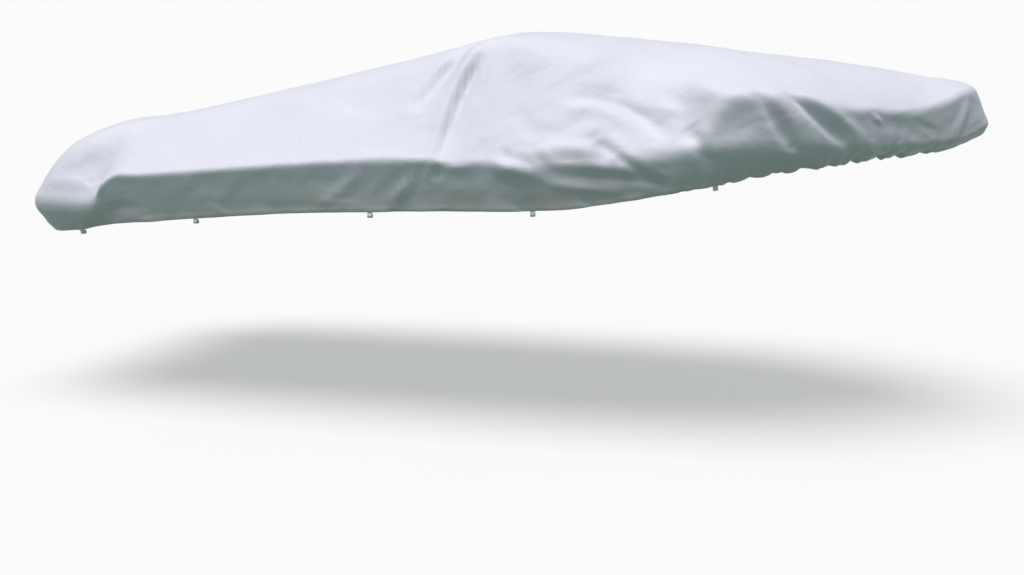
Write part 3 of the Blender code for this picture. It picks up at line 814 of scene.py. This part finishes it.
    def fold_heights(self) -> Array:
        """How far the folds move each grid point outwards.

        A fold's section is h (1 - q) exp(-q), with q the square of distance over reach, so that its
        trough or ridge has a slight swell on each side. Its height rises and falls along its path.
        """
        heights = np.zeros(self.rows * self.spokes)
        points = self.base.reshape(-1, 3)
        for fold in MAIN_FOLDS + FINE_FOLDS:
            path = self.fold_path(fold)
            margin = self.drape.fold_margin * fold.reach
            near = ((points > path.min(axis=0) - margin) & (points < path.max(axis=0) + margin)).all(axis=1)
            away = norm(points[near, None] - path, axis=2)
            share = away.argmin(axis=1) / (self.path_samples - 1)
            midway = np.sin(np.pi * share) ** self.drape.fold_fullness
            swell = self.drape.fold_ends + (1 - self.drape.fold_ends) * midway
            square = (away.min(axis=1) / fold.reach) ** 2
            heights[near] += fold.height * swell * (1 - square) * np.exp(-square)
        return heights.reshape(self.rows, self.spokes)

    def slack_heights(self) -> Array:
        """Small uneven slack all over: a sum of soft waves in random directions, bent by one another.

        It is weakest on the tight slopes and strongest on the side below the gunwale.
        """
        drape = self.drape
        rng = np.random.default_rng(self.seed)
        points = self.base.reshape(-1, 3)
        total = np.zeros(len(points))
        bend = np.zeros(len(points))
        for wavelength in np.geomspace(*drape.slack_lengths, drape.slack_waves):
            direction = unit(rng.normal(size=3) * drape.slack_ways)
            phase = rng.uniform(0, 2 * np.pi)
            wave = np.sin(2 * np.pi * points @ direction / wavelength + phase + bend)
            bend = bend * drape.slack_bend + wave
            total += wave * wavelength * drape.slack_rise
        low = (-self.up / drape.slack_drop).clip(0, 1)
        return total.reshape(self.rows, self.spokes) * (drape.slack_taut + drape.slack_loose * low)

    def side_along(self, side: Side) -> Array:
        """Each spoke's distance along the gunwale from the middle of the transom, down that side."""
        return self.along if side is STARBOARD else self.length - self.along

    def elastic_heights(self) -> Array:
        """How far the elastic in the hem pushes the cloth out."""
        across = (self.above_hem / self.hem_width).clip(0, 1)
        return self.hem_bulge * np.sqrt(np.sin(np.pi * across).clip(0))

    def hem_heights(self) -> Array:
        """The puckers that the elastic draws, and the round of the hem over the elastic.

        A pucker's place wanders along the hem, so that no two are alike.
        """
        drape = self.drape
        heights = np.zeros((self.rows, self.spokes))
        for gather in GATHERS:
            along = self.side_along(gather.side)
            share = ((along - gather.start) / (gather.end - gather.start)).clip(0, 1)
            swell = np.sin(np.pi * share) ** drape.pucker_fullness
            wander = drape.pucker_wander * np.sin(drape.pucker_rhythm * along / gather.pitch)
            wave = np.sin(2 * np.pi * along / gather.pitch + wander)
            fade = (1 - self.above_hem / gather.reach).clip(0, 1) ** drape.pucker_fade
            heights += gather.height * swell * wave * fade
        return heights + self.elastic_heights()

    def crease_heights(self) -> Array:
        """The short creases of the shirred hem, each a narrow trough that rises from the hem.

        A crease's section is -d (1 - q) exp(-q), with q the square of distance over width, so that
        cloth is pushed up on each side of it. It leans a little along the hem, and its depth dies away
        evenly up the side.
        """
        drape = self.drape
        rng = np.random.default_rng(self.seed + 1)
        heights = np.zeros((self.rows, self.spokes))
        for shirring in SHIRRINGS:
            count = round((shirring.end - shirring.start) / shirring.pitch)
            steps = np.arange(count) + rng.uniform(*drape.crease_places, count)
            centre, lean, width, length, depth = (
                draws[:, None, None]
                for draws in (
                    shirring.start + steps * shirring.pitch,
                    rng.normal(0.0, drape.crease_lean, count),
                    rng.uniform(*drape.crease_widths, count),
                    rng.uniform(*drape.crease_lengths, count) * shirring.reach,
                    rng.uniform(*drape.crease_depths, count) * shirring.height,
                )
            )
            away = self.side_along(shirring.side) - centre - lean * self.above_hem
            square = (away / width) ** 2
            fade = (1 - self.above_hem / length).clip(0, 1)
            heights -= (depth * (1 - square) * np.exp(-square) * fade).sum(axis=0)
        return heights

    def thicknesses(self) -> Array:
        """How far the inner face lies in from the outer: the cloth, and the elastic inside the hem."""
        return self.cloth_thickness + 2 * self.elastic_heights()

    def hem_frame(self, side: Side, forward: float, span: float) -> tuple[Array, ...]:
        """Where a loop is sewn: its foot on the inner hem, and the ways along, inwards and up there.

        Args:
            side: The side of the cover.
            forward: How far forward of the stern.
            span: The length of hem that the ways are taken over.

        Returns:
            The foot and the three ways, which are square to one another.
        """
        order = 1 if side is STARBOARD else -1
        spoke = (order * np.arange(self.bow_spoke + 1) % self.spokes)[::order]
        edge, top = self.inner[0, spoke], self.inner[self.hem_steps, spoke]
        run = run_along(edge)
        at = np.interp(forward, edge[::order, 0], run[::order])
        foot, before, after, above = (
            np.array([np.interp(where, run, line[:, axis]) for axis in range(3)])
            for where, line in ((at, edge), (at - span / 2, edge), (at + span / 2, edge), (at, top))
        )
        along = unit(after - before)
        inwards = unit(np.cross(above - foot, along))
        return foot, along, inwards, unit(np.cross(along, inwards))

    def build(self, finish: Material) -> Piece:
        """The closed body of the sheet: its outer face, its inner face, and the hem's edge between them.

        Args:
            finish: The cloth's material.

        Returns:
            The dressed piece.
        """
        numbers = self.point_numbers()
        count = numbers.size
        edge = numbers[0]
        following = np.roll(edge, -1)
        under = edge + count
        rim = listed([[following, edge, under], [following, under, following + count]])
        faces = np.r_[self.triangles, self.triangles[:, ::-1] + count, rim]
        points = placed(np.r_[self.outer.reshape(-1, 3), self.inner.reshape(-1, 3)])
        uv = np.stack(np.broadcast_arrays(self.along, self.above_hem), axis=-1).reshape(-1, 2)
        corners = np.r_[uv, uv][faces]
        wraps = np.ptp(corners[..., 0], axis=1) > self.length / 2
        corners[wraps, :, 0] += np.where(corners[wraps, :, 0] < self.length / 2, self.length, 0.0)
        used, faces = np.unique(faces, return_inverse=True)
        piece = new_piece("cover_sheet", points[used], faces.reshape(-1, 3), finish, corners)
        self.declare(piece)
        return piece

    def declare(self, piece: Piece) -> None:
        """Attaches the sheet to the root and hides the imported cloth. It works out the crest's length and
        the cut area, but nothing uses them.
        """
        crest = norm(np.diff(self.base[-1, : self.bow_spoke + 1], axis=0), axis=1).sum()
        area = norm(facings(self.outer.reshape(-1, 3), self.triangles), axis=1).sum() / 2
        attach(piece, "root")
        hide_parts("cover_cloth")


@dataclass
class TieLoop:
    """One loop of webbing, with two legs flat together on the hem and an open eye below it."""

    side: Side
    number: int
    forward: float  # of the stern
    width: float = 0.025
    thickness: float = 0.002
    eye: float = 0.019  # inside width
    drop: float = 0.031  # below the hem's edge
    leg: float = 0.018  # above the hem's edge
    neck: float = 0.004  # the legs part this far below the edge
    sewn_gap: float = 0.0007
    hem_span: float = 0.05  # of hem, for the strap's ways
    section_points: int = 20
    selvage_powers: tuple = (0.4, 0.6)  # sideways and through: the less, the squarer
    eye_turn: tuple = (150, 390)  # degrees
    eye_points: int = 25
    leg_points: int = 6
    corner_cuts: int = 2

    def centre_line(self) -> Array:
        """The strap's run as (inwards, up): down one leg, round the eye and up the other.

        Its corners are rounded by cutting them, a quarter of the way along each step.
        """
        middle = np.array([self.thickness, self.eye / 2 + self.thickness - self.drop])
        turn = np.radians(np.linspace(*self.eye_turn, self.eye_points))
        eye = middle + np.stack([np.cos(turn), np.sin(turn)], axis=1) * (self.eye + self.thickness) / 2
        near, far = self.thickness / 2, self.thickness * 1.5
        heights = np.linspace(self.leg, -self.neck, self.leg_points)
        down = np.stack([np.full(self.leg_points, near), heights], axis=1)
        rise = np.stack([np.full(self.leg_points, far), heights[::-1]], axis=1)
        line = np.r_[down, eye, rise]
        for _ in range(self.corner_cuts):
            cut = np.stack([line[:-1] * 0.75 + line[1:] * 0.25, line[:-1] * 0.25 + line[1:] * 0.75], axis=1)
            line = np.r_[line[:1], cut.reshape(-1, 2), line[-1:]]
        return line

    def build(self, sheet: CoverSheet, finish: Material) -> Piece:
        """Carries the webbing's flat section along its run.

        The section is a flattened round, with its two selvages thinned.

        Args:
            sheet: The cloth that it is sewn to.
            finish: The webbing's material.

        Returns:
            The dressed piece.
        """
        line = self.centre_line()
        way = np.gradient(line, axis=0)
        across = unit(np.stack([-way[:, 1], way[:, 0]], axis=1))
        run = run_along(line)
        turn = np.linspace(0, 2 * np.pi, self.section_points, endpoint=False)
        sideways = np.sign(np.cos(turn)) * np.abs(np.cos(turn)) ** self.selvage_powers[0] * self.width / 2
        through = np.sign(np.sin(turn)) * np.abs(np.sin(turn)) ** self.selvage_powers[1] * self.thickness / 2
        foot, along, inwards, up = sheet.hem_frame(self.side, self.forward, self.hem_span)
        flat = line[:, None] + across[:, None] * through[None, :, None]
        inner = foot + inwards * (flat[..., :1] + self.sewn_gap)
        points = inner + up * flat[..., 1:] + along * sideways[None, :, None]
        rows, ring = len(line), self.section_points
        numbers = np.arange(rows * ring).reshape(rows, ring)
        after = np.roll(numbers, -1, axis=1)
        wall = np.stack([numbers[:-1], after[:-1], after[1:], numbers[1:]], axis=-1).reshape(-1, 4)
        triangles = np.r_[wall[:, [0, 1, 2]], wall[:, [0, 2, 3]]]
        fan = np.stack([np.zeros(ring - 2, int), np.arange(2, ring), np.arange(1, ring - 1)], 1)
        triangles = np.r_[triangles, numbers[0][fan], numbers[-1][fan[:, ::-1]]]
        uv = np.stack(np.broadcast_arrays(sideways[None, :], run[:, None]), axis=-1).reshape(-1, 2)
        points = placed(points.reshape(-1, 3))
        triangles = facing_out(points, triangles)
        name = f"tie_loop_{self.side.name.lower()}_{self.number}"
        piece = new_piece(name, points, triangles, finish, uv[triangles])
        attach(piece, "root")
        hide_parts(f"loop_{self.side.name.lower()}_{self.number}")
        log.info("%s: %d triangles", piece.name, len(triangles))
        return piece


def facing_out(points: Array, triangles: Array) -> Array:
    """The triangles of a closed body, turned over if they enclose less than nothing."""
    a, b, c = points[triangles].transpose(1, 0, 2)
    return triangles if (a * np.cross(b, c)).sum() > 0 else triangles[:, ::-1]


def placed(points: Array) -> Array:
    """Points measured from the stern and the lowest hem, moved to the cover's origin."""
    return points - [CARRIED_AT, 0.0, CARRIED_HEIGHT]


@dataclass
class BoatCover:
    """The whole cover: the sheet and its tie-down loops."""

    loops_forward: tuple = (0.36, 1.12, 2.16, 3.04, 3.95)

    def build(self) -> None:
        """Makes and dresses every piece."""
        sheet = CoverSheet()
        sheet.build(CoatedPolyester().make())
        webbing = PolyesterWebbing().make()
        for side in Side:
            for number, forward in enumerate(self.loops_forward, 1):
                TieLoop(side, number, forward).build(sheet, webbing)


@dataclass
class Studio:
    """Plain pale floor, soft light from above, and the camera."""

    camera_place: tuple = (1.617, -6.923, -0.367)
    camera_turn: float = -14.70  # degrees from +Y towards +X
    camera_dip: float = 9.03  # degrees below level
    focal_pixels: float = 1192.8
    image_width: int = 1024
    far_end: float = 200.0
    floor_size: float = 120.0
    key_from: tuple = (-0.12, -0.12, 0.97)
    key_spread: float = 50.0  # degrees
    key_strength: float = 3.85
    key_colour: str = "#fdf8ff"
    sky_colour: str = "#d9e8ea"
    ground_colour: str = "#b8e0d0"
    sky_band: tuple = (-0.5, 0.8)  # sines of the heights where ground ends and sky begins
    sky_strength: float = 0.37
    backdrop_colour: str = "#fbfbfb"

    def build(self) -> None:
        """Makes the floor, the lights and the camera."""
        self.build_floor()
        self.build_light()
        self.build_world()
        self.build_camera()

    def build_floor(self) -> None:
        """A wide level floor. Its own bounce is left to the lower half of the world."""
        half = self.floor_size / 2
        corners = np.array([[x * half, y * half, GROUND] for x, y in ((-1, -1), (1, -1), (1, 1), (-1, 1))])
        floor = new_piece("floor", corners, np.array([[0, 1, 2, 3]]), PaleFloor().make())
        floor.visible_diffuse = False

    def build_light(self) -> None:
        """One broad soft key from above and a little from the stern."""
        lamp = bpy.data.lights.new("overhead_key", "SUN")
        lamp.energy = self.key_strength
        lamp.angle = np.radians(self.key_spread)
        lamp.color = linear(self.key_colour)[:3]
        item = bpy.data.objects.new("overhead_key", lamp)
        item.rotation_euler = Vector(self.key_from).to_track_quat("Z", "Y").to_euler()
        bpy.context.scene.collection.objects.link(item)

    def build_world(self) -> None:
        """A pale sky over a dimmer ground, with a plain near-white backdrop behind the object."""
        world = bpy.data.worlds.new("studio")
        world.use_nodes = True
        tree = world.node_tree
        backdrop = tree.nodes["Background"]
        backdrop.inputs["Color"].default_value = linear(self.backdrop_colour)
        way = add_node(tree, "ShaderNodeTexCoord").outputs["Generated"]
        height = add_node(tree, "ShaderNodeSeparateXYZ", {"Vector": way}).outputs["Z"]
        share = ranged(tree, height, self.sky_band, (0.0, 1.0), "SMOOTHSTEP")
        tint = mixed(tree, share, self.ground_colour, self.sky_colour)
        sky = add_node(tree, "ShaderNodeBackground", {"Color": tint, "Strength": self.sky_strength})
        seen = add_node(tree, "ShaderNodeLightPath").outputs["Is Camera Ray"]
        shaders = {0: seen, 1: sky.outputs["Background"], 2: backdrop.outputs["Background"]}
        both = add_node(tree, "ShaderNodeMixShader", shaders)
        set_inputs(tree, tree.nodes["World Output"], {"Surface": both.outputs["Shader"]})
        bpy.context.scene.world = world

    def build_camera(self) -> None:
        """The camera, from its place, its turn and its dip."""
        camera = bpy.data.cameras.new("camera")
        camera.clip_end = self.far_end
        camera.lens = self.focal_pixels / self.image_width * camera.sensor_width
        item = bpy.data.objects.new("camera", camera)
        turn, dip = np.radians([self.camera_turn, self.camera_dip])
        looking = Vector((np.sin(turn) * np.cos(dip), np.cos(turn) * np.cos(dip), -np.sin(dip)))
        facing = looking.to_track_quat("-Z", "Y").to_matrix().to_4x4()
        item.matrix_world = Matrix.Translation(self.camera_place) @ facing
        bpy.context.scene.collection.objects.link(item)
        bpy.context.scene.camera = item
        bpy.context.scene.view_settings.view_transform = "Standard"


def main() -> None:
    """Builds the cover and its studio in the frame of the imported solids."""
    logging.basicConfig(level=logging.INFO, format="%(name)s: %(message)s")
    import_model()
    BoatCover().build()
    Studio().build()


if __name__ == "__main__":
    main()
